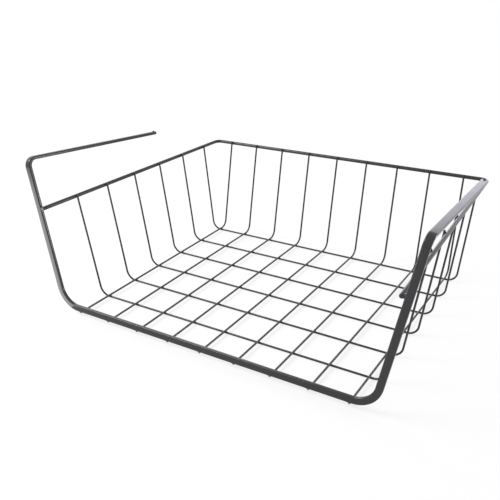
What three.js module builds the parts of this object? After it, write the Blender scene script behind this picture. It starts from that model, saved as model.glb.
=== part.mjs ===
// Under shelf basket, in millimetres, +Z up, with its open front facing -Y.
// One bent flat bar makes the front rail, both uprights and both hook arms. It carries a basket
// of round wires that is open at the front: depth wires lie on cross wires, and a thicker rim
// wire runs round the outside of their ends. Every crossing is a resistance weld.
import * as THREE from "three";

// Stock sizes
const meshWireDiameter = 2;
const rimWireDiameter = 4;
const barWidth = 6.5;
const barThickness = 3.5;
const barEdgeRadius = 1.1;
const weldGap = 0.3;

// Floor of the basket
const depthWireCount = 9;
const depthWirePitch = 36.5;
const crossWireCount = 6;
const crossWirePitch = 42;
const frontBayDepth = 45.5;
const depthWireEndSetback = 2;

// Walls: where their bends stand beyond the floor, and how far the rim overhangs those bends
const sideFootSetback = 11.5;
const sideBendRadius = 11;
const backFootSetback = 8.5;
const backBendRadius = 10;
const rimHeight = 107.5;
const rimSideFlare = 12.5;
const rimBackFlare = 25.4;
const rimCornerRadius = 7;
const wireEndRise = 1;

// Front frame and hook arms
const railCornerSetback = 20.5;
const railBendRadius = 22;
const uprightFlare = 29;
const uprightLean = 5;
const armFrontHeight = 154.5;
const armBendRadius = 8;
const armDepth = 181;
const armDrop = 15.3;
const armToeIn = 7.4;

// Fineness of the facets
const wireSides = 12;
const bendSteps = 9;
const edgeSteps = 2;

// Levels, from the cross wires that the basket rests on up to the rail
const meshWireRadius = meshWireDiameter / 2;
const rimWireRadius = rimWireDiameter / 2;
const crossWireLevel = meshWireRadius;
const depthWireLevel = crossWireLevel + meshWireDiameter + weldGap;
const railLevel = depthWireLevel + meshWireRadius + weldGap + barWidth / 2;
const wireTopLevel = rimHeight + rimWireRadius + wireEndRise;

// Plan, from the middle of the floor out to the walls and the rim
const outerDepthWireX = (depthWirePitch * (depthWireCount - 1)) / 2;
const sideFootX = outerDepthWireX + sideFootSetback;
const rimBackX = sideFootX + rimSideFlare;
const lastCrossWireY = frontBayDepth + crossWirePitch * (crossWireCount - 1);
const backFootY = lastCrossWireY + backFootSetback;
const rimBackY = backFootY + rimBackFlare;

// Front frame: the rail's corner, the top of the upright and the tip of the arm
const barMidY = barThickness / 2;
const railCornerX = outerDepthWireX + railCornerSetback;
const uprightRise = armFrontHeight - railLevel;
const armFrontX = railCornerX + uprightFlare;
const armFrontY = barMidY + uprightLean;
const armTipX = armFrontX - armToeIn;
const armTipY = armFrontY + armDepth;
const armTipLevel = armFrontHeight - armDrop;

// The rim's front ends are welded to the inner edges of the uprights
const rimOnUprightShare = (rimHeight - railLevel) / uprightRise;
const uprightSplay = Math.atan2(uprightFlare, uprightRise);
const uprightAtRimX = railCornerX + uprightFlare * rimOnUprightShare;
const rimFrontX =
  uprightAtRimX - (barWidth / 2 + weldGap + rimWireRadius) / Math.cos(uprightSplay);
const rimFrontY = uprightLean * rimOnUprightShare;

// A bent bar's centre line: straight runs joined by circular bends. Its frames turn only as the
// bends do, so a flat bar keeps its faces through them. The width direction is given for one of
// the straight runs, and is carried from there to both ends.
class BentPath extends THREE.Curve {
  constructor(corners, bendRadius, widthDirection, widthRun = 0) {
    super();
    this.stations = [];
    this.tangents = [];
    const directions = corners
      .slice(1)
      .map((corner, i) => new THREE.Vector3().subVectors(corner, corners[i]).normalize());
    const runStarts = [0];
    this.addStation(corners[0], directions[0]);
    for (let i = 1; i < directions.length; i++) {
      const radius = Array.isArray(bendRadius) ? bendRadius[i - 1] : bendRadius;
      this.addBend(corners[i], directions[i - 1], directions[i], radius);
      runStarts.push(this.stations.length - 1);
    }
    this.addStation(corners.at(-1), directions.at(-1));
    this.frames = this.carryFrames(widthDirection, runStarts[widthRun]);
  }

  addStation(point, tangent) {
    this.stations.push(point.clone());
    this.tangents.push(tangent.clone());
  }

  addBend(corner, into, outOf, radius) {
    const turn = into.angleTo(outOf);
    const axis = new THREE.Vector3().crossVectors(into, outOf).normalize();
    const inward = new THREE.Vector3().crossVectors(axis, into);
    const centre = corner
      .clone()
      .addScaledVector(into, -radius * Math.tan(turn / 2))
      .addScaledVector(inward, radius);
    for (let step = 0; step <= bendSteps; step++) {
      const angle = (turn * step) / bendSteps;
      const outward = inward.clone().applyAxisAngle(axis, angle).negate();
      const tangent = into.clone().applyAxisAngle(axis, angle);
      this.addStation(centre.clone().addScaledVector(outward, radius), tangent);
    }
  }

  carryFrames(widthDirection, start) {
    const normals = [];
    normals[start] = widthDirection.clone().normalize();
    const turned = (from, to) =>
      normals[from]
        .clone()
        .applyQuaternion(
          new THREE.Quaternion().setFromUnitVectors(this.tangents[from], this.tangents[to]),
        );
    for (let i = start + 1; i < this.tangents.length; i++) normals[i] = turned(i - 1, i);
    for (let i = start - 1; i >= 0; i--) normals[i] = turned(i + 1, i);
    const binormals = normals.map((normal, i) =>
      new THREE.Vector3().crossVectors(this.tangents[i], normal),
    );
    return { tangents: this.tangents, normals, binormals };
  }

  getSpacedPoints() {
    return this.stations;
  }

  computeFrenetFrames() {
    return this.frames;
  }
}

// A round wire's section, as a polygon whose flats lie at the wire's radius
function wireSection(diameter) {
  const cornerRadius = diameter / 2 / Math.cos(Math.PI / wireSides);
  const corners = Array.from({ length: wireSides }, (_, i) => {
    const angle = ((i + 0.5) * 2 * Math.PI) / wireSides;
    return new THREE.Vector2(Math.cos(angle), Math.sin(angle)).multiplyScalar(cornerRadius);
  });
  return new THREE.Shape(corners);
}

// The flat bar's section, wide along its first axis, with rounded edges
function barSection() {
  const x = barWidth / 2 - barEdgeRadius;
  const y = barThickness / 2 - barEdgeRadius;
  const quarter = Math.PI / 2;
  return new THREE.Shape()
    .absarc(x, y, barEdgeRadius, 0, quarter)
    .absarc(-x, y, barEdgeRadius, quarter, 2 * quarter)
    .absarc(-x, -y, barEdgeRadius, 2 * quarter, 3 * quarter)
    .absarc(x, -y, barEdgeRadius, 3 * quarter, 4 * quarter);
}

// Semi-gloss black powder coat over steel
function powderCoat() {
  return new THREE.MeshStandardMaterial({ color: 0x1c1c1e, roughness: 0.4, metalness: 0 });
}

function bentPiece(name, section, path) {
  const geometry = new THREE.ExtrudeGeometry(section, {
    steps: path.stations.length - 1,
    extrudePath: path,
    curveSegments: edgeSteps,
  });
  const piece = new THREE.Mesh(geometry, powderCoat());
  piece.name = name;
  return piece;
}

// A wall wire rises from its bend and touches the rim from inside: how far it leans outward
function wallLean(run, rise) {
  const reach = meshWireRadius + weldGap + rimWireRadius;
  return Math.atan2(run, rise) - Math.asin(reach / Math.hypot(run, rise));
}

// The rim wire's half width at a place behind the front face
function rimHalfWidth(y) {
  return THREE.MathUtils.mapLinear(y, rimFrontY, rimBackY, rimFrontX, rimBackX);
}

function makeFrontFrame() {
  const rightHalf = [
    new THREE.Vector3(railCornerX, barMidY, railLevel),
    new THREE.Vector3(armFrontX, armFrontY, armFrontHeight),
    new THREE.Vector3(armTipX, armTipY, armTipLevel),
  ];
  const leftHalf = rightHalf.map(({ x, y, z }) => new THREE.Vector3(-x, y, z)).reverse();
  const radii = [armBendRadius, railBendRadius, railBendRadius, armBendRadius];
  const upFromRail = new THREE.Vector3(0, uprightLean, uprightRise);
  const railRun = leftHalf.length - 1;
  const path = new BentPath([...leftHalf, ...rightHalf], radii, upFromRail, railRun);
  return bentPiece("front_frame", barSection(), path);
}

function makeRimWire() {
  const corners = [
    new THREE.Vector3(-rimFrontX, rimFrontY, rimHeight),
    new THREE.Vector3(-rimBackX, rimBackY, rimHeight),
    new THREE.Vector3(rimBackX, rimBackY, rimHeight),
    new THREE.Vector3(rimFrontX, rimFrontY, rimHeight),
  ];
  const path = new BentPath(corners, rimCornerRadius, new THREE.Vector3(0, 0, 1));
  return bentPiece("rim_wire", wireSection(rimWireDiameter), path);
}

// Front to back under the rail, along the floor and up inside the rim's back run
function makeDepthWire(index) {
  const x = index * depthWirePitch - outerDepthWireX;
  const lean = wallLean(rimBackY - backFootY, rimHeight - depthWireLevel);
  const topY = backFootY + (wireTopLevel - depthWireLevel) * Math.tan(lean);
  const corners = [
    new THREE.Vector3(x, depthWireEndSetback, depthWireLevel),
    new THREE.Vector3(x, backFootY, depthWireLevel),
    new THREE.Vector3(x, topY, wireTopLevel),
  ];
  const path = new BentPath(corners, backBendRadius, new THREE.Vector3(1, 0, 0));
  return bentPiece(`depth_wire_${index + 1}`, wireSection(meshWireDiameter), path);
}

// Down the left wall, across under the depth wires and up the right wall, inside the rim
function makeCrossWire(index) {
  const y = frontBayDepth + index * crossWirePitch;
  const lean = wallLean(rimHalfWidth(y) - sideFootX, rimHeight - crossWireLevel);
  const topX = sideFootX + (wireTopLevel - crossWireLevel) * Math.tan(lean);
  const corners = [
    new THREE.Vector3(-topX, y, wireTopLevel),
    new THREE.Vector3(-sideFootX, y, crossWireLevel),
    new THREE.Vector3(sideFootX, y, crossWireLevel),
    new THREE.Vector3(topX, y, wireTopLevel),
  ];
  const path = new BentPath(corners, sideBendRadius, new THREE.Vector3(0, 1, 0));
  return bentPiece(`cross_wire_${index + 1}`, wireSection(meshWireDiameter), path);
}

function makeWireMesh() {
  const wireMesh = new THREE.Group();
  for (let i = 0; i < depthWireCount; i++) wireMesh.add(makeDepthWire(i));
  for (let i = 0; i < crossWireCount; i++) wireMesh.add(makeCrossWire(i));
  return wireMesh;
}

// The origin is at the middle of the footprint, on the surface that the cross wires rest on
function makeBasket() {
  const assembly = new THREE.Group();
  assembly.add(makeFrontFrame(), makeRimWire(), makeWireMesh());
  const footprint = new THREE.Box3().setFromObject(assembly).getCenter(new THREE.Vector3());
  assembly.position.y = -footprint.y;
  return new THREE.Group().add(assembly);
}

export default makeBasket();
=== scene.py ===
"""Looks of an under shelf basket: welded steel wire and flat bar under a black powder coat.

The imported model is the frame. A finer mesh on the same centre line takes the place of each of
its solids. The resistance welds, which the model leaves as gaps, are added as fused metal, and
each arm's tip gets a low bead. Lengths are in metres, +Z is up and the basket's open front faces
-Y.
"""

import logging
import math
from collections.abc import Callable
from dataclasses import dataclass, field, replace
from enum import Enum

import bmesh
import bpy
from mathutils import Matrix, Quaternion, Vector
from mathutils.geometry import intersect_line_line


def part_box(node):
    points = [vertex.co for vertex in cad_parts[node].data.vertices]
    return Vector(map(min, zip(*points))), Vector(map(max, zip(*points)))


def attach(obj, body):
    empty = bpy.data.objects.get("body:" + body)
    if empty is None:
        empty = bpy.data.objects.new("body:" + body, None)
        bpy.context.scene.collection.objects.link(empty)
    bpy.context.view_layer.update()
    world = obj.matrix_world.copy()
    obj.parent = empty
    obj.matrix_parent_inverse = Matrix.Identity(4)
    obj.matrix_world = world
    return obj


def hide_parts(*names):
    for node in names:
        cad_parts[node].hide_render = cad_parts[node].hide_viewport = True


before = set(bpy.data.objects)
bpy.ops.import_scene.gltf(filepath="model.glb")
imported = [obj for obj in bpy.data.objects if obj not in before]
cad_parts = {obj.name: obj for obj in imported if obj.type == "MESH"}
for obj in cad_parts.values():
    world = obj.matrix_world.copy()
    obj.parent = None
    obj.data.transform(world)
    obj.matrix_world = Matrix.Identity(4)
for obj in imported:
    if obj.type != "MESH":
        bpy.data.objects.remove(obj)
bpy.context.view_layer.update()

MM = 0.001
BODY = "root"
WORKING_ATTRIBUTES = ("spine", "section", "across", "through", "edgewise", "turn", "fused")

log = logging.getLogger("basket")


class Side(Enum):
    """The basket's two mirrored sides, by the sign of their X."""

    LEFT = -1
    RIGHT = 1


class Section(Enum):
    """The two kinds of stock that the basket is bent from."""

    ROUND_WIRE = "round wire"
    FLAT_BAR = "flat bar"


@dataclass(frozen=True)
class Stock:
    """Sizes of the wire and bar, and the gap that the model keeps at a weld."""

    mesh_wire: float = 2 * MM
    rim_wire: float = 4 * MM
    bar_width: float = 6.5 * MM
    bar_thickness: float = 3.5 * MM
    bar_edge_radius: float = 1.1 * MM
    weld_gap: float = 0.3 * MM
    wire_end_rounding: float = 0.6 * MM
    bar_corner_rounding: float = 1.3 * MM
    bar_end_rounding: float = 0.6 * MM
    cut_face_crown: float = 0.08 * MM


@dataclass(frozen=True)
class Plan:
    """Floor plan, levels and walls, measured from the front and from the lowest wires."""

    stock: Stock = Stock()
    front_y: float = 0.0
    depth_wires: int = 9
    depth_pitch: float = 36.5 * MM
    cross_wires: int = 6
    cross_pitch: float = 42 * MM
    front_bay: float = 45.5 * MM
    depth_wire_setback: float = 2 * MM
    side_foot_setback: float = 11.5 * MM
    back_foot_setback: float = 8.5 * MM
    rim_height: float = 107.5 * MM
    rim_side_flare: float = 12.5 * MM
    rim_back_flare: float = 25.4 * MM
    wire_end_rise: float = 1 * MM

    @property
    def cross_level(self) -> float:
        """Height of the cross wires' centre lines on the floor."""
        return self.stock.mesh_wire / 2

    @property
    def depth_level(self) -> float:
        """Height of the depth wires' centre lines, which lie on the cross wires."""
        return self.cross_level + self.stock.mesh_wire + self.stock.weld_gap

    @property
    def rail_level(self) -> float:
        """Height of the front rail's centre line, which stands on the depth wires."""
        half_stack = (self.stock.mesh_wire + self.stock.bar_width) / 2
        return self.depth_level + half_stack + self.stock.weld_gap

    @property
    def wire_top_level(self) -> float:
        """Height of the wall wires' cut ends, just above the rim."""
        return self.rim_height + self.stock.rim_wire / 2 + self.wire_end_rise

    @property
    def outer_depth_x(self) -> float:
        """Distance from the middle to the outermost depth wire."""
        return self.depth_pitch * (self.depth_wires - 1) / 2

    @property
    def side_foot_x(self) -> float:
        """Distance from the middle to the corner where a side wall starts."""
        return self.outer_depth_x + self.side_foot_setback

    @property
    def back_foot_y(self) -> float:
        """Y of the corner where the back wall starts."""
        return self.cross_y(self.cross_wires - 1) + self.back_foot_setback

    @property
    def rim_back_x(self) -> float:
        """Half of the rim's width at its back corners."""
        return self.side_foot_x + self.rim_side_flare

    @property
    def rim_back_y(self) -> float:
        """Y of the rim's back run."""
        return self.back_foot_y + self.rim_back_flare

    def depth_x(self, index: int) -> float:
        """X of a depth wire, counted from the left."""
        return index * self.depth_pitch - self.outer_depth_x

    def cross_y(self, index: int) -> float:
        """Y of a cross wire, counted from the front."""
        return self.front_y + self.front_bay + index * self.cross_pitch

    def wall_lean(self, run: float, rise: float) -> float:
        """Works out how far a wall wire leans when it touches the rim from inside.

        Args:
            run: level distance from the wire's foot to the rim's centre line.
            rise: height of the rim's centre line above the wire's foot.

        Returns:
            The lean from upright, in radians.
        """
        reach = (self.stock.mesh_wire + self.stock.rim_wire) / 2 + self.stock.weld_gap
        return math.atan2(run, rise) - math.asin(reach / math.hypot(run, rise))


@dataclass
class Station:
    """One ring of a swept piece: its centre, heading and the directions of its section."""

    centre: Vector
    heading: Vector
    inward: Vector
    curvature: float
    across: Vector = field(default_factory=Vector)
    through: Vector = field(default_factory=Vector)
    edgewise: float = 0.0


@dataclass(frozen=True)
class CutEnd:
    """A sheared end, rounded by tumbling and by the coat."""

    width: float
    thickness: float
    corner_rounding: float
    edge_rounding: float
    crown: float
    steps: int = 6
    face_ring_shares: tuple[float, ...] = (0.06, 0.6)

    def rings(self) -> list[tuple[float, float, float]]:
        """Lists the rings from the end's middle outwards.

        Returns:
            For each ring its distance from the end, and its width and thickness shares.
        """
        rings = []
        for step in range(self.steps + 1):
            inset = self.corner_rounding * (1 - math.sin(step / self.steps * math.pi / 2))
            depth = self.corner_rounding * (1 - math.cos(step / self.steps * math.pi / 2))
            edge_left = max(self.edge_rounding - depth, 0)
            edge_inset = self.edge_rounding - math.sqrt(self.edge_rounding**2 - edge_left**2)
            across = 1 - 2 * inset / self.width
            through = 1 - 2 * edge_inset / self.thickness
            rings.append((depth + self.crown, across, through))
        _, across, through = rings[0]
        face = [
            (self.crown * share**2, across * share, through * share)
            for share in self.face_ring_shares
        ]
        return face + rings


class BentPath:
    """A bar's centre line: straight runs joined by round bends.

    The section's directions turn only as the bends do, so a flat bar keeps its faces.
    """

    bend_step: float = math.radians(4)
    longest_ring_gap: float = 12 * MM
    edgewise_share: float = 0.5
    edgewise_ramp_steps: int = 4

    def __init__(
        self, corners: list[Vector], radii: list[float], across: Vector, run: int = 0
    ) -> None:
        """Lays the path through its corners.

        Args:
            corners: the ends and the corners between the straight runs.
            radii: bend radius at each inner corner.
            across: the section's width direction on one of the runs.
            run: which of the runs that is.
        """
        self.stations: list[Station] = []
        headings = [(b - a).normalized() for a, b in zip(corners, corners[1:])]
        run_starts = [0]
        self._add(corners[0], headings[0])
        for corner, into, out, radius in zip(corners[1:-1], headings, headings[1:], radii):
            self._add_bend(corner, into, out, radius)
            run_starts.append(len(self.stations) - 1)
        self._add(corners[-1], headings[-1])
        self._carry(across.normalized(), run_starts[run])
        self._fill_runs()

    def _add(
        self,
        centre: Vector,
        heading: Vector,
        inward: Vector = Vector(),
        curvature: float = 0.0,
    ) -> None:
        """Adds a ring at the end of the path."""
        self.stations.append(Station(centre.copy(), heading.copy(), inward.copy(), curvature))

    def _add_bend(self, corner: Vector, into: Vector, out: Vector, radius: float) -> None:
        """Adds the rings of one round bend.

        Args:
            corner: where the two runs' centre lines would meet.
            into: heading of the run before the bend.
            out: heading of the run after it.
            radius: bend radius on the centre line.
        """
        turn = into.angle(out)
        axis = into.cross(out).normalized()
        inward = axis.cross(into)
        centre = corner - into * radius * math.tan(turn / 2) + inward * radius
        steps = max(math.ceil(turn / self.bend_step), 2 * self.edgewise_ramp_steps)
        for step in range(steps + 1):
            rotation = Quaternion(axis, turn * step / steps)
            towards = rotation @ inward
            ramp = min(step, steps - step) / self.edgewise_ramp_steps
            self._add(centre - towards * radius, rotation @ into, towards, min(ramp, 1) / radius)

    def _carry(self, across: Vector, start: int) -> None:
        """Carries the width direction from one ring to all the others.

        Args:
            across: the width direction at the starting ring.
            start: that ring's index.
        """
        self.stations[start].across = across
        forwards = range(start + 1, len(self.stations))
        backwards = range(start - 1, -1, -1)
        for indices, behind in ((forwards, -1), (backwards, 1)):
            for i in indices:
                source = self.stations[i + behind]
                turn = source.heading.rotation_difference(self.stations[i].heading)
                self.stations[i].across = turn @ source.across
        for station in self.stations:
            station.through = station.heading.cross(station.across)
            squeeze = station.across.dot(station.inward) * station.curvature
            station.edgewise = squeeze * self.edgewise_share

    def _fill_runs(self) -> None:
        """Adds rings along the straight runs."""
        filled = [self.stations[0]]
        for station in self.stations[1:]:
            last = filled[-1]
            pieces = math.ceil((station.centre - last.centre).length / self.longest_ring_gap)
            filled += [self._between(last, station, i / pieces) for i in range(1, pieces)]
            filled.append(station)
        self.stations = filled

    @staticmethod
    def _between(first: Station, second: Station, share: float) -> Station:
        """Makes a ring on the straight run between two others."""
        centre = first.centre.lerp(second.centre, share)
        return Station(centre, first.heading, Vector(), 0.0, first.across, first.through)

    def cut(self, end: CutEnd) -> None:
        """Rounds both ends of the path.

        Args:
            end: how the ends are cut.
        """
        # Each pass rounds the first end and turns the path round
        for _ in range(2):
            tip = self.stations[0]
            inwards = (self.stations[1].centre - tip.centre).normalized()
            rings = []
            for distance, width_share, thickness_share in end.rings():
                centre = tip.centre + inwards * distance
                across, through = tip.across * width_share, tip.through * thickness_share
                rings.append(Station(centre, tip.heading, Vector(), 0.0, across, through))
            deepest = end.rings()[-1][0]
            kept = [s for s in self.stations if (s.centre - tip.centre).length > deepest]
            self.stations = (rings + kept)[::-1]


class NodeTree:
    """A node tree under construction."""

    def __init__(self, tree: bpy.types.NodeTree) -> None:
        """Takes up a tree.

        Args:
            tree: the tree, which may hold nodes already.
        """
        self.tree = tree

    def feed(self, node: bpy.types.Node, links: dict[str | int, object]) -> None:
        """Sets a node's inputs.

        Args:
            node: the node.
            links: for each input, a socket that feeds it or a plain value.
        """
        for name, value in links.items():
            socket = node.inputs[name]
            if isinstance(value, bpy.types.NodeSocket):
                self.tree.links.new(value, socket)
            else:
                socket.default_value = value

    def add(self, kind: str, links: dict[str | int, object], **settings: object) -> bpy.types.Node:
        """Adds a node.

        Args:
            kind: the node's type.
            links: for each of its inputs, a socket that feeds it or a plain value.
            settings: the node's own properties.

        Returns:
            The new node.
        """
        node = self.tree.nodes.new(kind)
        for name, value in settings.items():
            setattr(node, name, value)
        self.feed(node, links)
        return node

    def maths(self, operation: str, first: object, second: object) -> bpy.types.NodeSocket:
        """Joins two numbers by an operation."""
        return self.add("ShaderNodeMath", {0: first, 1: second}, operation=operation).outputs[0]


class GeometryTree(NodeTree):
    """A geometry node tree under construction."""

    def __init__(self, name: str) -> None:
        """Starts a tree that takes and gives a geometry.

        Args:
            name: the tree's name.
        """
        super().__init__(bpy.data.node_groups.new(name, "GeometryNodeTree"))
        self.tree.is_modifier = True
        self._socket("Geometry", "NodeSocketGeometry", "OUTPUT")
        self._socket("Geometry", "NodeSocketGeometry")
        self.start = self.tree.nodes.new("NodeGroupInput")
        self.end = self.tree.nodes.new("NodeGroupOutput")

    def _socket(self, name: str, kind: str, in_out: str = "INPUT") -> None:
        """Adds a socket to the tree's interface."""
        self.tree.interface.new_socket(name, in_out=in_out, socket_type=kind)

    def input(self, name: str, kind: str = "NodeSocketFloat") -> bpy.types.NodeSocket:
        """Adds a named input.

        Args:
            name: the input's name.
            kind: its socket type.

        Returns:
            The socket that gives its value inside the tree.
        """
        self._socket(name, kind)
        return self.start.outputs[name]

    def attribute(self, name: str, kind: str = "FLOAT_VECTOR") -> bpy.types.NodeSocket:
        """Reads a named attribute."""
        node = self.add("GeometryNodeInputNamedAttribute", {"Name": name}, data_type=kind)
        return node.outputs["Attribute"]

    def store(self, geometry: bpy.types.NodeSocket, name: str) -> bpy.types.NodeSocket:
        """Stores the points' places under a name.

        Args:
            geometry: the socket of the curve.
            name: the attribute's name.

        Returns:
            The socket of the curve with the attribute.
        """
        place = self.add("GeometryNodeInputPosition", {}).outputs["Position"]
        links = {"Geometry": geometry, "Name": name, "Value": place}
        kinds = {"data_type": "FLOAT_VECTOR", "domain": "POINT"}
        return self.add("GeometryNodeStoreNamedAttribute", links, **kinds).outputs["Geometry"]

    def scaled(self, vector: bpy.types.NodeSocket, by: object) -> bpy.types.NodeSocket:
        """Scales a vector by a number."""
        links = {0: vector, "Scale": by}
        return self.add("ShaderNodeVectorMath", links, operation="SCALE").outputs[0]

    def summed(
        self, first: bpy.types.NodeSocket, second: bpy.types.NodeSocket
    ) -> bpy.types.NodeSocket:
        """Adds two vectors."""
        return self.add("ShaderNodeVectorMath", {0: first, 1: second}, operation="ADD").outputs[0]

    def finish(self, geometry: bpy.types.NodeSocket) -> bpy.types.NodeTree:
        """Ends the tree in plain, smooth geometry with its material.

        Args:
            geometry: the socket of the finished shape.

        Returns:
            The tree.
        """
        material = self.input("Material", "NodeSocketMaterial")
        smooth = self.add("GeometryNodeSetShadeSmooth", {"Geometry": geometry}).outputs[0]
        plain = self.add("GeometryNodeRealizeInstances", {"Geometry": smooth}).outputs[0]
        links = {"Geometry": plain, "Material": material}
        dressed = self.add("GeometryNodeSetMaterial", links).outputs[0]
        self.tree.links.new(dressed, self.end.inputs["Geometry"])
        return self.tree


def make_sweep_tree() -> bpy.types.NodeTree:
    """Builds the tree that gives a path its section.

    The path's points carry their section's directions, and on-edge bends thicken the section on
    their inner side as they do in a real bar.

    Returns:
        The tree.
    """
    tree = GeometryTree("swept stock")
    width = tree.input("Width")
    thickness = tree.input("Thickness")
    edge_radius = tree.input("Edge Radius")
    edge_steps = tree.input("Edge Steps", "NodeSocketInt")
    wire_sides = tree.input("Wire Sides", "NodeSocketInt")
    is_bar = tree.input("Flat Bar", "NodeSocketBool")

    path = tree.add("GeometryNodeMeshToCurve", {"Mesh": tree.start.outputs["Geometry"]}).outputs[0]
    radius = tree.maths("DIVIDE", width, 2.0)
    links = {"Resolution": wire_sides, "Radius": radius}
    circle = tree.add("GeometryNodeCurvePrimitiveCircle", links).outputs[0]
    links = {"Width": width, "Height": thickness}
    oblong = tree.add("GeometryNodeCurvePrimitiveQuadrilateral", links).outputs[0]
    links = {"Curve": oblong, "Count": edge_steps, "Radius": edge_radius}
    bar = tree.add("GeometryNodeFilletCurve", links, mode="POLY").outputs[0]
    links = {"Switch": is_bar, "False": circle, "True": bar}
    section = tree.add("GeometryNodeSwitch", links, input_type="GEOMETRY").outputs[0]
    spine, outline = tree.store(path, "spine"), tree.store(section, "section")
    links = {"Curve": spine, "Profile Curve": outline, "Fill Caps": True}
    swept = tree.add("GeometryNodeCurveToMesh", links).outputs["Mesh"]

    part = tree.add("ShaderNodeSeparateXYZ", {0: tree.attribute("section")}).outputs
    squeeze = tree.maths("MULTIPLY", tree.attribute("edgewise", "FLOAT"), part["X"])
    fullness = tree.maths("ADD", squeeze, 1.0)
    across = tree.scaled(tree.attribute("across"), part["X"])
    through = tree.scaled(tree.attribute("through"), tree.maths("MULTIPLY", part["Y"], fullness))
    place = tree.summed(tree.attribute("spine"), tree.summed(across, through))
    placed = tree.add("GeometryNodeSetPosition", {"Geometry": swept, "Position": place}).outputs[0]
    return tree.finish(placed)


def make_weld_tree() -> bpy.types.NodeTree:
    """Builds the tree that sets a nugget on each weld's point and makes each a little uneven.

    Returns:
        The tree.
    """
    lump_detail, noise_middle, lump_fading = 1.0, 0.5, 2.0
    tree = GeometryTree("weld nuggets")
    nugget = tree.input("Nugget", "NodeSocketObject")
    lump_size = tree.input("Lump Size")
    lump_height = tree.input("Lump Height")
    seed = tree.input("Seed", "NodeSocketInt")

    shape = tree.add("GeometryNodeObjectInfo", {"Object": nugget}).outputs["Geometry"]
    spots = tree.start.outputs["Geometry"]
    points = tree.add("GeometryNodeMeshToPoints", {"Mesh": spots}).outputs[0]
    links = {"Points": points, "Instance": shape, "Rotation": tree.attribute("turn")}
    placed = tree.add("GeometryNodeInstanceOnPoints", links).outputs[0]
    plain = tree.add("GeometryNodeRealizeInstances", {"Geometry": placed}).outputs[0]

    links = {"W": seed, "Scale": tree.maths("DIVIDE", 1.0, lump_size), "Detail": lump_detail}
    lumps = tree.add("ShaderNodeTexNoise", links, noise_dimensions="4D").outputs["Fac"]
    height = tree.maths("MULTIPLY", tree.maths("SUBTRACT", lumps, noise_middle), lump_height)
    fade = tree.maths("POWER", tree.attribute("fused", "FLOAT"), lump_fading)
    height = tree.maths("MULTIPLY", height, fade)
    normal = tree.add("GeometryNodeInputNormal", {}).outputs["Normal"]
    links = {"Geometry": plain, "Offset": tree.scaled(normal, height)}
    uneven = tree.add("GeometryNodeSetPosition", links).outputs[0]
    return tree.finish(uneven)


def place_object(name: str, data: bpy.types.ID) -> bpy.types.Object:
    """Puts a new object in the scene.

    Args:
        name: its name.
        data: its mesh, light or camera.

    Returns:
        The object, at the origin.
    """
    made = bpy.data.objects.new(name, data)
    bpy.context.scene.collection.objects.link(made)
    return made


def run_tree(
    source: bpy.types.Object, tree: bpy.types.NodeTree, inputs: dict[str, object], name: str
) -> bpy.types.Object:
    """Runs a tree on an object and keeps the result as a plain mesh.

    Args:
        source: the object that the tree works on, which is removed.
        tree: the geometry node tree.
        inputs: the tree's inputs by name.
        name: name of the piece.

    Returns:
        The piece, at the origin, unturned and unscaled.
    """
    modifier = source.modifiers.new(tree.name, "NODES")
    modifier.node_group = tree
    for item in tree.interface.items_tree:
        if item.in_out == "INPUT" and item.name in inputs:
            modifier[item.identifier] = inputs[item.name]
    graph = bpy.context.evaluated_depsgraph_get()
    mesh = bpy.data.meshes.new_from_object(source.evaluated_get(graph))
    source.modifiers.remove(modifier)
    bpy.data.objects.remove(source)
    return make_piece(name, mesh)


def make_piece(name: str, mesh: bpy.types.Mesh) -> bpy.types.Object:
    """Turns a closed mesh's faces outwards and puts it in the scene.

    Args:
        name: name of the piece.
        mesh: its mesh.

    Returns:
        The new object.
    """
    solid = bmesh.new()
    solid.from_mesh(mesh)
    if solid.calc_volume(signed=True) < 0:
        bmesh.ops.reverse_faces(solid, faces=solid.faces)
    loose = [edge for edge in solid.edges if not edge.is_manifold]
    if loose:
        log.warning("%s has %d open edges", name, len(loose))
    solid.to_mesh(mesh)
    solid.free()
    for spent in WORKING_ATTRIBUTES:
        if spent in mesh.attributes:
            mesh.attributes.remove(mesh.attributes[spent])
    mesh.shade_smooth()
    mesh.name = name
    return place_object(name, mesh)


def points_object(
    places: list[Vector], edges: list[tuple[int, int]], values: dict[str, list]
) -> bpy.types.Object:
    """Makes an object of bare points that a tree works on.

    Args:
        places: the points.
        edges: pairs of points that are joined.
        values: named attributes of the points, numbers or vectors.

    Returns:
        The new object.
    """
    mesh = bpy.data.meshes.new("points")
    mesh.from_pydata(places, edges, [])
    for name, column in values.items():
        if isinstance(column[0], float):
            mesh.attributes.new(name, "FLOAT", "POINT").data.foreach_set("value", column)
        else:
            flat = [number for vector in column for number in vector]
            mesh.attributes.new(name, "FLOAT_VECTOR", "POINT").data.foreach_set("vector", flat)
    return place_object("points", mesh)


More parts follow.
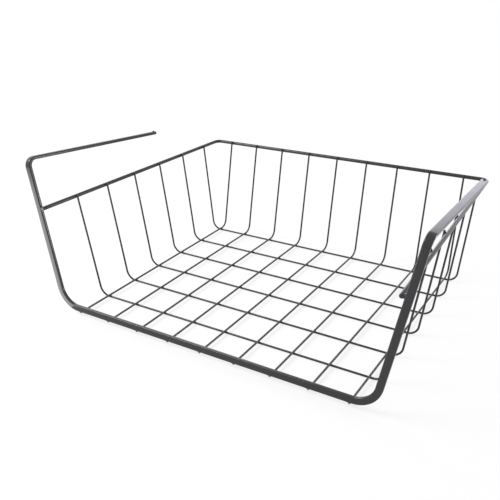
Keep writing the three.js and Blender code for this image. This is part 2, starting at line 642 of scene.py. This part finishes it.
@dataclass(frozen=True)
class PowderCoat:
    """Semi-gloss black powder coat with a faint orange peel."""

    light_colour: tuple[float, float, float] = (0.018, 0.018, 0.019)
    dark_colour: tuple[float, float, float] = (0.011, 0.011, 0.012)
    sheen_colour: tuple[float, float, float] = (0.97, 0.96, 1.0)
    smoothest: float = 0.20
    roughest: float = 0.30
    peel_size: float = 1.1 * MM
    peel_depth: float = 0.01 * MM
    peel_detail: float = 1
    patch_size: float = 14 * MM
    patch_detail: float = 3

    def material(self) -> bpy.types.Material:
        """Builds the coat's material.

        Returns:
            The material, which reads object coordinates only.
        """
        made = bpy.data.materials.new("black powder coat")
        made.use_nodes = True
        tree = NodeTree(made.node_tree)
        place = tree.add("ShaderNodeTexCoord", {}).outputs["Object"]

        links = {"Vector": place, "Scale": 1 / self.patch_size, "Detail": self.patch_detail}
        patches = tree.add("ShaderNodeTexNoise", links).outputs["Fac"]
        dark, light = (*self.dark_colour, 1), (*self.light_colour, 1)
        links = {"Factor": patches, "A": dark, "B": light}
        tint = tree.add("ShaderNodeMix", links, data_type="RGBA").outputs["Result"]
        links = {"Value": patches, "To Min": self.smoothest, "To Max": self.roughest}
        roughness = tree.add("ShaderNodeMapRange", links).outputs["Result"]

        links = {"Vector": place, "Scale": 1 / self.peel_size, "Detail": self.peel_detail}
        peel = tree.add("ShaderNodeTexNoise", links).outputs["Fac"]
        links = {"Height": peel, "Strength": 1, "Distance": self.peel_depth}
        bump = tree.add("ShaderNodeBump", links).outputs["Normal"]

        sheen = (*self.sheen_colour, 1)
        links = {
            "Base Color": tint,
            "Roughness": roughness,
            "Normal": bump,
            "Specular Tint": sheen,
        }
        tree.feed(made.node_tree.nodes["Principled BSDF"], links)
        return made


@dataclass
class Bender:
    """Bends stock to shape: sweeps a section along a path and coats the piece."""

    coat: bpy.types.Material
    tree: bpy.types.NodeTree
    stock: Stock
    wire_sides: int = 24
    edge_steps: int = 7

    def bend(
        self,
        name: str,
        path: BentPath,
        section: Section,
        width: float,
        thickness: float,
        edge_radius: float,
    ) -> bpy.types.Object:
        """Makes one bent piece.

        Args:
            name: name of the piece.
            path: its centre line.
            section: the kind of stock.
            width: the section's width, or the wire's diameter.
            thickness: the section's thickness, or the wire's diameter.
            edge_radius: rounding of a flat bar's edges.

        Returns:
            The piece.
        """
        stations = path.stations
        places = [station.centre for station in stations]
        edges = [(i, i + 1) for i in range(len(stations) - 1)]
        values = {
            "across": [station.across for station in stations],
            "through": [station.through for station in stations],
            "edgewise": [station.edgewise for station in stations],
        }
        inputs = {
            "Width": width,
            "Thickness": thickness,
            "Edge Radius": edge_radius,
            "Edge Steps": self.edge_steps,
            "Wire Sides": self.wire_sides,
            "Flat Bar": section is Section.FLAT_BAR,
            "Material": self.coat,
        }
        return run_tree(points_object(places, edges, values), self.tree, inputs, name)

    def bend_wire(self, name: str, path: BentPath, diameter: float) -> bpy.types.Object:
        """Makes one bent round wire.

        Args:
            name: name of the piece.
            path: its centre line.
            diameter: the wire's diameter.

        Returns:
            The piece.
        """
        rounding = self.stock.wire_end_rounding
        path.cut(CutEnd(diameter, diameter, rounding, rounding, self.stock.cut_face_crown))
        return self.bend(name, path, Section.ROUND_WIRE, diameter, diameter, rounding)

    def bend_bar(self, name: str, path: BentPath) -> bpy.types.Object:
        """Makes one bent flat bar.

        Args:
            name: name of the piece.
            path: its centre line.

        Returns:
            The piece.
        """
        stock = self.stock
        width, thickness = stock.bar_width, stock.bar_thickness
        corners, edges = stock.bar_corner_rounding, stock.bar_end_rounding
        path.cut(CutEnd(width, thickness, corners, edges, stock.cut_face_crown))
        return self.bend(name, path, Section.FLAT_BAR, width, thickness, stock.bar_edge_radius)


@dataclass
class FrontFrame:
    """The flat bar that makes the front rail, both uprights and both hook arms."""

    plan: Plan
    corner_setback: float = 20.5 * MM
    rail_bend_radius: float = 22 * MM
    upright_flare: float = 29 * MM
    upright_lean: float = 5 * MM
    arm_front_height: float = 154.5 * MM
    arm_bend_radius: float = 8 * MM
    arm_depth: float = 181 * MM
    arm_drop: float = 15.3 * MM
    arm_toe_in: float = 7.4 * MM

    @property
    def corner(self) -> Vector:
        """Right corner between the rail and its upright."""
        y = self.plan.front_y + self.plan.stock.bar_thickness / 2
        return Vector((self.plan.outer_depth_x + self.corner_setback, y, self.plan.rail_level))

    @property
    def top(self) -> Vector:
        """Right corner between the upright and its arm."""
        x, y, _ = self.corner
        return Vector((x + self.upright_flare, y + self.upright_lean, self.arm_front_height))

    @property
    def tip(self) -> Vector:
        """End of the right arm."""
        return self.top + Vector((-self.arm_toe_in, self.arm_depth, -self.arm_drop))

    @property
    def up_from_rail(self) -> Vector:
        """The rail's width direction, which leans back with the uprights."""
        rise = self.arm_front_height - self.plan.rail_level
        return Vector((0, self.upright_lean, rise)).normalized()

    @property
    def rail_lean(self) -> float:
        """How far the rail leans back for each metre of its height."""
        return self.up_from_rail.y / self.up_from_rail.z

    def corners(self) -> list[Vector]:
        """Lists the bar's ends and corners.

        Returns:
            The points, from the left arm's tip to the right arm's.
        """
        right = [self.corner, self.top, self.tip]
        left = [Vector((-x, y, z)) for x, y, z in reversed(right)]
        return left + right

    def rim_end(self) -> Vector:
        """Works out where the rim's right front end lies against the upright.

        Returns:
            The end of the rim's centre line.
        """
        stock, corner, top = self.plan.stock, self.corner, self.top
        share = (self.plan.rim_height - corner.z) / (top.z - corner.z)
        splay = math.atan2(self.upright_flare, top.z - corner.z)
        clear = (stock.bar_width + stock.rim_wire) / 2 + stock.weld_gap
        x = corner.x + self.upright_flare * share - clear / math.cos(splay)
        return Vector((x, self.plan.front_y + self.upright_lean * share, self.plan.rim_height))

    def path(self) -> BentPath:
        """Lays the bar's centre line.

        Returns:
            The path, from the left arm's tip to the right arm's.
        """
        corners = self.corners()
        left_radii = [self.arm_bend_radius, self.rail_bend_radius]
        rail_run = len(corners) // 2 - 1
        return BentPath(corners, left_radii + left_radii[::-1], self.up_from_rail, rail_run)

    def build(self, bender: Bender) -> bpy.types.Object:
        """Bends the bar.

        Args:
            bender: what bends and coats it.

        Returns:
            The piece.
        """
        piece = bender.bend_bar("front_bar", self.path())
        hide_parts("front_frame")
        return piece


@dataclass
class Rim:
    """The thick round wire round the sides and the back."""

    plan: Plan
    front: FrontFrame
    corner_radius: float = 7 * MM

    def corners(self) -> list[Vector]:
        """Lists the rim's ends and corners.

        Returns:
            The points, from the left front end round to the right one.
        """
        end = self.front.rim_end()
        back = Vector((self.plan.rim_back_x, self.plan.rim_back_y, self.plan.rim_height))
        return [Vector((-end.x, end.y, end.z)), Vector((-back.x, back.y, back.z)), back, end]

    def half_width(self, y: float) -> float:
        """Half of the rim's width at a place behind the front."""
        end, back = self.front.rim_end(), self.corners()[2]
        return end.x + (back.x - end.x) * (y - end.y) / (back.y - end.y)

    def build(self, bender: Bender) -> bpy.types.Object:
        """Bends the rim.

        Args:
            bender: what bends and coats it.

        Returns:
            The piece.
        """
        path = BentPath(self.corners(), [self.corner_radius] * 2, Vector((0, 0, 1)))
        piece = bender.bend_wire("rim_bar", path, self.plan.stock.rim_wire)
        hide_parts("rim_wire")
        return piece


@dataclass
class WireMesh:
    """The two layers of thin wire that make the floor and the walls."""

    plan: Plan
    rim: Rim
    side_bend_radius: float = 11 * MM
    back_bend_radius: float = 10 * MM

    def depth_corners(self, index: int) -> list[Vector]:
        """Lists a depth wire's ends and corner, from its end under the rail.

        Args:
            index: the wire's number, counted from the left.

        Returns:
            Its front end, the foot of the back wall and its top.
        """
        plan, x = self.plan, self.plan.depth_x(index)
        rise = plan.rim_height - plan.depth_level
        lean = plan.wall_lean(plan.rim_back_y - plan.back_foot_y, rise)
        top_y = plan.back_foot_y + (plan.wire_top_level - plan.depth_level) * math.tan(lean)
        return [
            Vector((x, plan.front_y + plan.depth_wire_setback, plan.depth_level)),
            Vector((x, plan.back_foot_y, plan.depth_level)),
            Vector((x, top_y, plan.wire_top_level)),
        ]

    def cross_corners(self, index: int) -> list[Vector]:
        """Lists a cross wire's ends and corners, from the left wall to the right one.

        Args:
            index: the wire's number, counted from the front.

        Returns:
            The left top, both feet and the right top.
        """
        plan, y = self.plan, self.plan.cross_y(index)
        rise = plan.rim_height - plan.cross_level
        lean = plan.wall_lean(self.rim.half_width(y) - plan.side_foot_x, rise)
        top_x = plan.side_foot_x + (plan.wire_top_level - plan.cross_level) * math.tan(lean)
        foot = Vector((plan.side_foot_x, y, plan.cross_level))
        top = Vector((top_x, y, plan.wire_top_level))
        mirror = Matrix.Diagonal((-1, 1, 1))
        return [mirror @ top, mirror @ foot, foot, top]

    def build(self, bender: Bender) -> list[bpy.types.Object]:
        """Bends all the thin wires.

        Args:
            bender: what bends and coats them.

        Returns:
            The pieces, depth wires first.
        """
        plan, pieces = self.plan, []
        along_x, along_y = Vector((1, 0, 0)), Vector((0, 1, 0))
        layers = [
            ("depth", plan.depth_wires, self.depth_corners, self.back_bend_radius, along_x),
            ("cross", plan.cross_wires, self.cross_corners, self.side_bend_radius, along_y),
        ]
        for layer, count, corners_of, radius, across in layers:
            for index in range(count):
                corners = corners_of(index)
                path = BentPath(corners, [radius] * (len(corners) - 2), across)
                name = f"{layer}_rod_{index + 1}"
                piece = bender.bend_wire(name, path, plan.stock.mesh_wire)
                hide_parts(f"{layer}_wire_{index + 1}")
                pieces.append(piece)
        return pieces


Distance = Callable[[Vector], float]


@dataclass(frozen=True)
class Rod:
    """A round wire in a weld, as its distance from a point. It may end near the weld."""

    radius: float
    end: float | None = None

    def below(self, gap: float) -> Distance:
        """Lays the rod along X, under the gap.

        Args:
            gap: the gap at the weld.

        Returns:
            The distance function.
        """

        def distance(point: Vector) -> float:
            """Gives a point's distance from the rod.

            Args:
                point: a point in the nugget's own axes.

            Returns:
                The distance, negative inside the rod.
            """
            outside = math.hypot(point.y, point.z + gap / 2 + self.radius) - self.radius
            if self.end is None:
                return outside
            past_end = -self.end - point.x
            if outside > 0 and past_end > 0:
                return math.hypot(outside, past_end)
            return max(outside, past_end)

        return distance

    def above(self, gap: float) -> Distance:
        """Lays the rod along Y, over the gap."""
        return lambda point: math.hypot(point.x, point.z - gap / 2 - self.radius) - self.radius


@dataclass(frozen=True)
class Bar:
    """A flat bar that stands on its edge in a weld. It may lean along X."""

    width: float
    thickness: float
    edge_radius: float
    lean: float = 0.0

    def above(self, gap: float) -> Distance:
        """Lays the bar along Y, on its edge over the gap.

        Args:
            gap: the gap at the weld.

        Returns:
            The distance function.
        """

        def distance(point: Vector) -> float:
            """Gives a point's distance from the bar.

            Args:
                point: a point in the nugget's own axes.

            Returns:
                The distance, negative inside the bar.
            """
            height = point.z - gap / 2
            x = abs(point.x - self.lean * height) - self.thickness / 2 + self.edge_radius
            z = abs(height - self.width / 2) - self.width / 2 + self.edge_radius
            corner = math.hypot(max(x, 0), max(z, 0))
            return corner + min(max(x, z), 0) - self.edge_radius

        return distance


@dataclass(frozen=True)
class Joint:
    """Where two pieces are welded: the middle of their gap and the two directions there."""

    middle: Vector
    lower_run: Vector
    up: Vector

    def turn(self) -> Vector:
        """Turns a nugget's own axes to the joint's.

        Returns:
            The turn as Euler angles.
        """
        up = self.up.normalized()
        side = up.cross(self.lower_run).normalized()
        return Vector(Matrix((side.cross(up), side, up)).transposed().to_euler())


def set_on_joints(
    name: str,
    mesh: bpy.types.Mesh,
    joints: list[Joint],
    coat: bpy.types.Material,
    tree: bpy.types.NodeTree,
    lumps: dict[str, object],
) -> bpy.types.Object:
    """Sets a copy of a small shape on each joint.

    Args:
        name: name of the piece.
        mesh: the shape, in a joint's own axes.
        joints: where the copies go.
        coat: the finish.
        tree: the tree that sets nuggets on points.
        lumps: the tree's inputs for the lumps.

    Returns:
        The piece.
    """
    shape = place_object(mesh.name, mesh)
    turns = {"turn": [joint.turn() for joint in joints]}
    spots = points_object([joint.middle for joint in joints], [], turns)
    piece = run_tree(spots, tree, {"Nugget": shape, "Material": coat, **lumps}, name)
    bpy.data.objects.remove(shape)
    return piece


@dataclass
class Nugget:
    """The fused metal at one kind of weld, blended into both pieces."""

    lower: Rod
    upper: Rod | Bar
    gap: float
    blend: float = 1.25 * MM
    reach: float = 2.4 * MM
    inset: float = 0.012 * MM
    fineness: int = 4
    march_step: float = 0.04 * MM
    halvings: int = 6

    def level(self, point: Vector, lower: Distance, upper: Distance) -> tuple[float, float]:
        """Gives the smooth union of both pieces at a point.

        Args:
            point: a point in the nugget's own axes.
            lower: distance from the lower piece.
            upper: distance from the upper piece.

        Returns:
            The distance from the union, and how much the blend adds there, from 0 to 1.
        """
        a, b = lower(point), upper(point)
        share = max(self.blend - abs(a - b), 0) / self.blend
        return min(a, b) - share * share * self.blend / 4 + self.inset, share

    def surface_along(self, direction: Vector, lower: Distance, upper: Distance) -> Vector:
        """Walks outwards to the surface of the union, then halves the last step.

        Args:
            direction: unit vector out of the nugget's middle.
            lower: distance from the lower piece.
            upper: distance from the upper piece.

        Returns:
            The point just under the surface, or at the nugget's reach.
        """
        inner = outer = 0.0
        while outer < self.reach and self.level(direction * outer, lower, upper)[0] <= 0:
            inner, outer = outer, outer + self.march_step
        for _ in range(self.halvings):
            middle = (inner + outer) / 2
            if self.level(direction * middle, lower, upper)[0] <= 0:
                inner = middle
            else:
                outer = middle
        return direction * inner

    def mesh(self) -> bpy.types.Mesh:
        """Shapes a ball to the surface of the union.

        Returns:
            The mesh, with the blend's share in its attribute "fused".
        """
        lower, upper = self.lower.below(self.gap), self.upper.above(self.gap)
        ball = bmesh.new()
        bmesh.ops.create_icosphere(ball, subdivisions=self.fineness, radius=1)
        shares = []
        for vertex in ball.verts:
            vertex.co = self.surface_along(vertex.co.normalized(), lower, upper)
            shares.append(self.level(vertex.co, lower, upper)[1])
        made = bpy.data.meshes.new("nugget")
        ball.to_mesh(made)
        ball.free()
        made.attributes.new("fused", "FLOAT", "POINT").data.foreach_set("value", shares)
        return made


@dataclass
class Welds:
    """All the resistance welds: floor, walls, rail and the rim's two ends."""

    plan: Plan
    front: FrontFrame
    rim: Rim
    wires: WireMesh
    rail_blend: float = 2.6 * MM
    rail_reach: float = 2.7 * MM
    rim_end_blend: float = 1.5 * MM
    rim_end_reach: float = 2.3 * MM
    lump_size: float = 0.9 * MM
    lump_height: float = 0.07 * MM
    seed: int = 7

    def floor_joints(self) -> list[Joint]:
        """Lists the crossings of the floor's two layers.

        Returns:
            The joints, with the cross wire as each one's lower piece.
        """
        plan, run, up = self.plan, Vector((1, 0, 0)), Vector((0, 0, 1))
        height = plan.cross_level + (plan.stock.mesh_wire + plan.stock.weld_gap) / 2
        return [
            Joint(Vector((plan.depth_x(i), plan.cross_y(j), height)), run, up)
            for i in range(plan.depth_wires)
            for j in range(plan.cross_wires)
        ]

    def wall_joints(self) -> list[Joint]:
        """Lists the places where wall wires touch the rim from inside.

        Returns:
            The joints, with the wall wire as each one's lower piece.
        """
        rim, joints = self.rim.corners(), []
        for index in range(self.plan.cross_wires):
            corners = self.wires.cross_corners(index)
            joints.append(self._touch(corners[1], corners[0], rim[0], rim[1]))
            joints.append(self._touch(corners[2], corners[3], rim[2], rim[3]))
        for index in range(self.plan.depth_wires):
            corners = self.wires.depth_corners(index)
            joints.append(self._touch(corners[1], corners[2], rim[1], rim[2]))
        return joints

    def _touch(self, foot: Vector, top: Vector, rim_start: Vector, rim_end: Vector) -> Joint:
        """Finds the weld between a wall wire and a run of the rim.

        Args:
            foot: the corner where the wall wire starts.
            top: its upper end.
            rim_start: start of the rim's run.
            rim_end: end of the rim's run.

        Returns:
            The joint, with the wall wire as its lower piece.
        """
        on_wire, on_rim = intersect_line_line(foot, top, rim_start, rim_end)
        up = (on_rim - on_wire).normalized()
        middle = on_wire + up * (self.plan.stock.mesh_wire + self.plan.stock.weld_gap) / 2
        return Joint(middle, top - foot, up)

    def rail_joints(self) -> list[Joint]:
        """Lists the places where the front rail stands on the depth wires.

        Returns:
            The joints, with the depth wire as each one's lower piece.
        """
        plan, run, up = self.plan, Vector((0, 1, 0)), Vector((0, 0, 1))
        height = plan.depth_level + (plan.stock.mesh_wire + plan.stock.weld_gap) / 2
        y = self.front.corner.y - self.front.rail_lean * plan.stock.bar_width / 2
        xs = [plan.depth_x(index) for index in range(plan.depth_wires)]
        return [Joint(Vector((x, y, height)), run, up) for x in xs]

    def rim_end_joints(self) -> list[Joint]:
        """Lists the places where the rim's front ends meet the uprights.

        Returns:
            The joints, with the rim as each one's lower piece.
        """
        stock, front, rim = self.plan.stock, self.front, self.rim.corners()
        along = (front.top - front.corner).normalized()
        joints = []
        for side, end, corner in ((Side.LEFT, rim[0], rim[1]), (Side.RIGHT, rim[3], rim[2])):
            upright = Vector((side.value * along.x, along.y, along.z))
            run = (corner - end).normalized()
            up = upright.cross(run).normalized()
            up *= math.copysign(1, up.x * side.value)
            offset = up * (stock.rim_wire + stock.weld_gap) / 2
            joints.append(Joint(end + run * stock.bar_thickness / 2 + offset, run, up))
        return joints

    def build(self, coat: bpy.types.Material, tree: bpy.types.NodeTree) -> bpy.types.Object:
        """Makes the nuggets of all the welds as one piece.

        Args:
            coat: the finish.
            tree: the tree that sets the nuggets.

        Returns:
            The piece.
        """
        stock, gap = self.plan.stock, self.plan.stock.weld_gap
        thin, thick = Rod(stock.mesh_wire / 2), Rod(stock.rim_wire / 2)
        upright = Bar(stock.bar_width, stock.bar_thickness, stock.bar_edge_radius)
        rail = replace(upright, lean=self.front.rail_lean)
        under_rail = replace(thin, end=stock.bar_thickness / 2 - self.plan.depth_wire_setback)
        rim_end = replace(thick, end=stock.bar_thickness / 2)
        at_rail = Nugget(under_rail, rail, gap, self.rail_blend, self.rail_reach)
        at_upright = Nugget(rim_end, upright, gap, self.rim_end_blend, self.rim_end_reach)
        kinds = [
            (Nugget(thin, thin, gap), self.floor_joints()),
            (Nugget(thin, thick, gap), self.wall_joints()),
            (at_rail, self.rail_joints()),
            (at_upright, self.rim_end_joints()),
        ]
        lumps = {"Lump Size": self.lump_size, "Lump Height": self.lump_height, "Seed": self.seed}
        whole = bmesh.new()
        for nugget, joints in kinds:
            part = set_on_joints("weld_kind", nugget.mesh(), joints, coat, tree, lumps)
            whole.from_mesh(part.data)
            bpy.data.objects.remove(part)
        mesh = bpy.data.meshes.new("weld_nuggets")
        whole.to_mesh(mesh)
        whole.free()
        mesh.materials.append(coat)
        return make_piece("weld_nuggets", mesh)


@dataclass
class TipBeads:
    """The low rounded beads on top of the arms' tips."""

    front: FrontFrame
    setback: float = 1.9 * MM
    radius: float = 1.4 * MM
    height: float = 1.0 * MM
    sunk: float = 0.2 * MM
    rings: int = 12
    sides: int = 32

    def spots(self) -> list[Joint]:
        """Lists where the beads sit.

        Returns:
            A place on the bar's upper face near each of its ends.
        """
        path, spots = self.front.path(), []
        for station, inwards in ((path.stations[0], 1), (path.stations[-1], -1)):
            up = station.through * math.copysign(1, station.through.z)
            run = station.heading * inwards
            rise = up * self.front.plan.stock.bar_thickness / 2
            spots.append(Joint(station.centre + run * self.setback + rise, run, up))
        return spots

    def mesh(self) -> bpy.types.Mesh:
        """Shapes one bead, a low dome.

        Returns:
            The closed mesh, with its foot sunk into the bar.
        """
        bead = bmesh.new()
        top = bead.verts.new((0, 0, self.height))
        rows = []
        for ring in range(1, self.rings + 1):
            angle = math.pi / 2 * ring / self.rings
            rows.append((self.radius * math.sin(angle), self.height * math.cos(angle)))
        rows.append((self.radius, -self.sunk))
        turns = [2 * math.pi * side / self.sides for side in range(self.sides)]
        around = [(math.cos(turn), math.sin(turn)) for turn in turns]
        circles = [
            [bead.verts.new((radius * x, radius * y, level)) for x, y in around]
            for radius, level in rows
        ]
        for side in range(self.sides):
            after = (side + 1) % self.sides
            bead.faces.new((top, circles[0][side], circles[0][after]))
            for inner, outer in zip(circles, circles[1:]):
                bead.faces.new((inner[side], outer[side], outer[after], inner[after]))
        bead.faces.new(circles[-1][::-1])
        made = bpy.data.meshes.new("bead")
        bead.to_mesh(made)
        bead.free()
        return made

    def build(self, coat: bpy.types.Material, tree: bpy.types.NodeTree) -> bpy.types.Object:
        """Sets the beads on both arms.

        Args:
            coat: the finish.
            tree: the tree that sets nuggets on points.

        Returns:
            The piece.
        """
        no_lumps = {"Lump Size": 1 * MM, "Lump Height": 0.0, "Seed": 0}
        return set_on_joints("tip_beads", self.mesh(), self.spots(), coat, tree, no_lumps)


def direction_to(azimuth: float, elevation: float) -> Vector:
    """Gives the direction from the basket to a place round it.

    Args:
        azimuth: angle from the front towards the basket's right, in radians.
        elevation: angle above the level, in radians.

    Returns:
        The unit vector.
    """
    level = math.cos(elevation)
    return Vector((math.sin(azimuth) * level, -math.cos(azimuth) * level, math.sin(elevation)))


@dataclass(frozen=True)
class Softbox:
    """A rectangular studio light that faces its target. Its angles are in degrees."""

    name: str
    target: tuple[float, float, float]
    azimuth: float
    elevation: float
    distance: float
    width: float
    height: float
    radiance: float
    colour: tuple[float, float, float] = (1, 1, 1)

    def build(self) -> bpy.types.Object:
        """Hangs the light.

        Returns:
            The light.
        """
        back = direction_to(math.radians(self.azimuth), math.radians(self.elevation))
        data = bpy.data.lights.new(self.name, "AREA")
        data.shape = "RECTANGLE"
        data.size, data.size_y = self.width, self.height
        data.energy = self.radiance * math.pi * self.width * self.height
        data.color = self.colour
        lamp = place_object(self.name, data)
        lamp.location = Vector(self.target) + back * self.distance
        lamp.rotation_euler = (-back).to_track_quat("-Z", "Y").to_euler()
        lamp.visible_camera = False
        return lamp


@dataclass
class Studio:
    """A pale floor, soft lights and the camera."""

    camera_place: tuple[float, float, float] = (311.1 * MM, -546.8 * MM, 332.7 * MM)
    camera_azimuth: float = math.radians(32.266)
    camera_elevation: float = math.radians(24.377)
    camera_roll: float = -0.023594
    focal_pixels: float = 665.6
    picture_pixels: float = 500
    sensor_width_mm: float = 36
    near_clip: float = 10 * MM
    floor_size: float = 30
    floor_colour: tuple[float, float, float] = (0.92, 0.92, 0.92)
    white_share: float = 0.72
    shadow_reach: float = 0.4
    white_from: float = 1.1
    surround_strength: float = 0.69
    sky_colour: tuple[float, float, float] = (0.87, 0.88, 1.0)
    basket_middle: tuple[float, float, float] = (0, 0, 80 * MM)
    left_upright: tuple[float, float, float] = (-185 * MM, -145 * MM, 75 * MM)
    above_floor_card: tuple[float, float, float] = (-385 * MM, -372 * MM, 500 * MM)

    def build_floor(self) -> bpy.types.Object:
        """Lays the floor, whose white is lifted for the camera but keeps the shadow.

        Returns:
            The floor.
        """
        floor = bmesh.new()
        bmesh.ops.create_grid(floor, x_segments=1, y_segments=1, size=self.floor_size / 2)
        mesh = bpy.data.meshes.new("floor")
        floor.to_mesh(mesh)
        floor.free()
        paint = bpy.data.materials.new("pale floor")
        paint.use_nodes = True
        tree, nodes = NodeTree(paint.node_tree), paint.node_tree.nodes
        nodes.remove(nodes["Principled BSDF"])
        links = {"Color": (*self.floor_colour, 1)}
        matt = tree.add("ShaderNodeBsdfDiffuse", links).outputs[0]
        white = tree.add("ShaderNodeEmission", {}).outputs[0]
        seen = tree.add("ShaderNodeLightPath", {}).outputs["Is Camera Ray"]
        place = tree.add("ShaderNodeTexCoord", {}).outputs["Object"]
        far = tree.add("ShaderNodeVectorMath", {0: place}, operation="LENGTH").outputs["Value"]
        links = {
            "Value": far,
            "From Min": self.shadow_reach,
            "From Max": self.white_from,
            "To Min": self.white_share,
        }
        fade = tree.add("ShaderNodeMapRange", links, interpolation_type="SMOOTHSTEP")
        share = tree.maths("MULTIPLY", seen, fade.outputs["Result"])
        mix = tree.add("ShaderNodeMixShader", {"Fac": share, 1: matt, 2: white}).outputs[0]
        tree.feed(nodes["Material Output"], {"Surface": mix})
        mesh.materials.append(paint)
        made = place_object("floor", mesh)
        return made

    def build_surround(self) -> None:
        """Makes the even surround, which is white to the camera and in reflections."""
        world = bpy.data.worlds.new("surround")
        world.use_nodes = True
        tree, nodes = NodeTree(world.node_tree), world.node_tree.nodes
        colour, dim = (1, 1, 1, 1), nodes["Background"]
        tree.feed(dim, {"Color": colour, "Strength": self.surround_strength})
        white = tree.add("ShaderNodeBackground", {"Color": colour}).outputs[0]
        ray = tree.add("ShaderNodeLightPath", {}).outputs
        either = tree.maths("MAXIMUM", ray["Is Camera Ray"], ray["Is Glossy Ray"])
        links = {"Fac": either, 1: dim.outputs[0], 2: white}
        mix = tree.add("ShaderNodeMixShader", links).outputs[0]
        tree.feed(nodes["World Output"], {"Surface": mix})
        bpy.context.scene.world = world

    def build_lights(self) -> None:
        """Sets up the softboxes and the two small cards.

        The back softboxes light the right arm's top, the left ones the rail's upper edge and the
        rim's back run, and the cards the left upright. The floor card lies on the floor and
        faces up.
        """
        boxes = [
            Softbox(
                "back softbox", self.basket_middle, azimuth=186, elevation=10,
                distance=1.6, width=1.8, height=0.6, radiance=1.72, colour=self.sky_colour,
            ),
            Softbox(
                "left back softbox", self.basket_middle, azimuth=232, elevation=31,
                distance=1.6, width=1.1, height=0.7, radiance=1.5,
            ),
            Softbox(
                "left softbox", self.basket_middle, azimuth=-62, elevation=38,
                distance=1.6, width=0.9, height=0.45, radiance=8.0,
            ),
            Softbox(
                "high left softbox", self.basket_middle, azimuth=-50, elevation=49,
                distance=1.6, width=0.6, height=0.25, radiance=11.0,
            ),
            Softbox(
                "floor card", self.above_floor_card, azimuth=0, elevation=-90,
                distance=0.495, width=0.45, height=0.45, radiance=3.2,
            ),
            Softbox(
                "low right card", self.left_upright, azimuth=124, elevation=0,
                distance=1.0, width=0.14, height=0.14, radiance=16.0,
            ),
        ]
        for box in boxes:
            box.build()

    def build_camera(self) -> bpy.types.Object:
        """Sets the camera at the photograph's viewing angle.

        Returns:
            The camera.
        """
        back = direction_to(self.camera_azimuth, self.camera_elevation)
        right = Vector((0, 0, 1)).cross(back).normalized()
        up = back.cross(right)
        roll = Quaternion(back, self.camera_roll)
        turn = Matrix((roll @ right, roll @ up, back)).transposed()
        data = bpy.data.cameras.new("camera")
        data.sensor_width = self.sensor_width_mm
        data.lens = self.focal_pixels / self.picture_pixels * self.sensor_width_mm
        data.clip_start = self.near_clip
        camera = place_object("camera", data)
        camera.matrix_world = Matrix.Translation(self.camera_place) @ turn.to_4x4()
        bpy.context.scene.camera = camera
        return camera

    def build(self) -> None:
        """Builds the whole studio."""
        bpy.context.scene.view_settings.view_transform = "Standard"
        self.build_floor()
        self.build_surround()
        self.build_lights()
        self.build_camera()


def report(piece: bpy.types.Object) -> None:
    """Puts a piece on the basket's one body and logs it.

    Args:
        piece: the finished piece.
    """
    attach(piece, BODY)
    log.info("%s: %d faces", piece.name, len(piece.data.polygons))


def main() -> None:
    """Builds the basket in order, then the studio."""
    logging.basicConfig(level=logging.INFO, format="%(name)s: %(message)s")
    front_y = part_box("depth_wire_1")[0][1] - Plan.depth_wire_setback
    plan = Plan(front_y=front_y)
    coat = PowderCoat().material()
    bender = Bender(coat, make_sweep_tree(), plan.stock)
    front = FrontFrame(plan)
    rim = Rim(plan, front)
    wires = WireMesh(plan, rim)
    welds = Welds(plan, front, rim, wires)

    report(front.build(bender))
    report(rim.build(bender))
    for piece in wires.build(bender):
        report(piece)
    weld_tree = make_weld_tree()
    report(welds.build(coat, weld_tree))
    report(TipBeads(front).build(coat, weld_tree))
    Studio().build()


if __name__ == "__main__":
    main()
